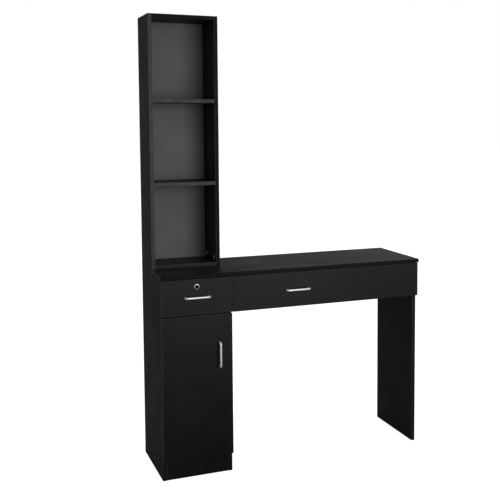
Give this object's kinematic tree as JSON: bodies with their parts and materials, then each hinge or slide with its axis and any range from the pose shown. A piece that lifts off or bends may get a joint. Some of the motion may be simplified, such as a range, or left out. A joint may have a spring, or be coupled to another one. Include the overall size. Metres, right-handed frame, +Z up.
{
  "type": "styling station",
  "caption": "Salon styling station: long worktop on a narrow cupboard and a leg panel, drawers under it, a lock on the left drawer, and a tall open bookcase on the left end.",
  "frame": {"origin": "on the floor, at the centre of the overall footprint", "axes": "+X to the leg panel, the viewer's right; +Y to the wall behind; +Z up"},
  "size_m": [1.15, 0.395, 1.88],
  "materials": {
    "coated_board": "gloss black-brown laminate",
    "back_board": "satin dark grey foil",
    "drawer_board": "matt dark foil",
    "dowel_wood": "raw",
    "satin_nickel": "satin nickel",
    "nickel_steel": "nickel plated",
    "zinc_steel": "zinc plated",
    "yellow_steel": "yellow zinc",
    "zinc_alloy": "die cast, matt",
    "brass_look": "passivated steel",
    "grey_plastic": "matt",
    "pale_plastic": "matt",
    "black_plastic": "matt",
    "clear_rubber": "soft, milky"
  },
  "bodies": {
    "station": {"worktop": "coated_board", "lower_left_side": "coated_board", "lower_right_side": "coated_board", "cabinet_floor": "coated_board", "toe_kick": "coated_board", "drawer_rail": "coated_board", "cabinet_back": "back_board", "cabinet_shelf": "coated_board", "shelf_pins": "nickel_steel", "leg_panel": "coated_board", "right_fascia": "coated_board", "bay_divider": "coated_board", "rear_rail": "coated_board", "corner_blocks": "black_plastic", "bookcase_left_side": "coated_board", "bookcase_right_side": "coated_board", "bookcase_top": "coated_board", "bookcase_bottom": "coated_board", "upper_shelf": "coated_board", "lower_shelf": "coated_board", "bookcase_back": "back_board", "wall_rail": "coated_board", "hanger_plates": "zinc_steel", "cam_locks": "zinc_alloy", "cam_bolts": "yellow_steel", "dowels": "dowel_wood", "cam_covers": "grey_plastic", "end_cap": "pale_plastic", "board_screws": "zinc_steel", "front_bumpers": "clear_rubber", "hinge_plates": "nickel_steel", "hinge_arms": "nickel_steel", "left_slide_outers": "zinc_steel", "centre_slide_outers": "zinc_steel", "strike_plate": "zinc_steel"},
    "door": {"cabinet_door": "coated_board", "door_handle": "satin_nickel", "hinge_cups": "nickel_steel", "hinge_pins": "nickel_steel", "door_screws": "zinc_steel"},
    "left_drawer": {"left_drawer_front": "coated_board", "left_drawer_sides": "drawer_board", "left_drawer_ends": "drawer_board", "left_drawer_bottom": "back_board", "left_drawer_handle": "satin_nickel", "left_slide_inners": "zinc_steel", "left_drawer_screws": "zinc_steel", "lock_housing": "satin_nickel", "lock_nut": "zinc_steel"},
    "lock": {"lock_plug": "satin_nickel", "lock_tongue": "zinc_steel"},
    "left_cages": {"left_ball_cages": "brass_look"},
    "centre_drawer": {"centre_drawer_front": "coated_board", "centre_drawer_sides": "drawer_board", "centre_drawer_ends": "drawer_board", "centre_drawer_bottom": "back_board", "centre_drawer_handle": "satin_nickel", "centre_slide_inners": "zinc_steel", "centre_drawer_screws": "zinc_steel"},
    "centre_cages": {"centre_ball_cages": "brass_look"}
  },
  "joints": [
    {"name": "left_drawer_slide", "type": "slide", "parent": "station", "child": "left_drawer", "axis": [0, -1, 0], "range_m": [0, 0.225]},
    {"name": "left_cage_slide", "type": "slide", "parent": "station", "child": "left_cages", "axis": [0, -1, 0], "range_m": [0, 0.1125]},
    {"name": "centre_drawer_slide", "type": "slide", "parent": "station", "child": "centre_drawer", "axis": [0, -1, 0], "range_m": [0, 0.225]},
    {"name": "centre_cage_slide", "type": "slide", "parent": "station", "child": "centre_cages", "axis": [0, -1, 0], "range_m": [0, 0.1125]},
    {"name": "door_hinge", "type": "hinge", "parent": "station", "child": "door", "pos_m": [-0.568, -0.166, 0.3735], "axis": [0, 0, -1], "range_deg": [0, 95]},
    {"name": "lock_turn", "type": "hinge", "parent": "left_drawer", "child": "lock", "pos_m": [-0.431, -0.1735, 0.787], "axis": [0, -1, 0], "range_deg": [0, 90]}
  ],
  "couplings": [
    {"joint": "left_cage_slide", "follows": "left_drawer_slide", "ratio": 0.5},
    {"joint": "centre_cage_slide", "follows": "centre_drawer_slide", "ratio": 0.5}
  ]
}
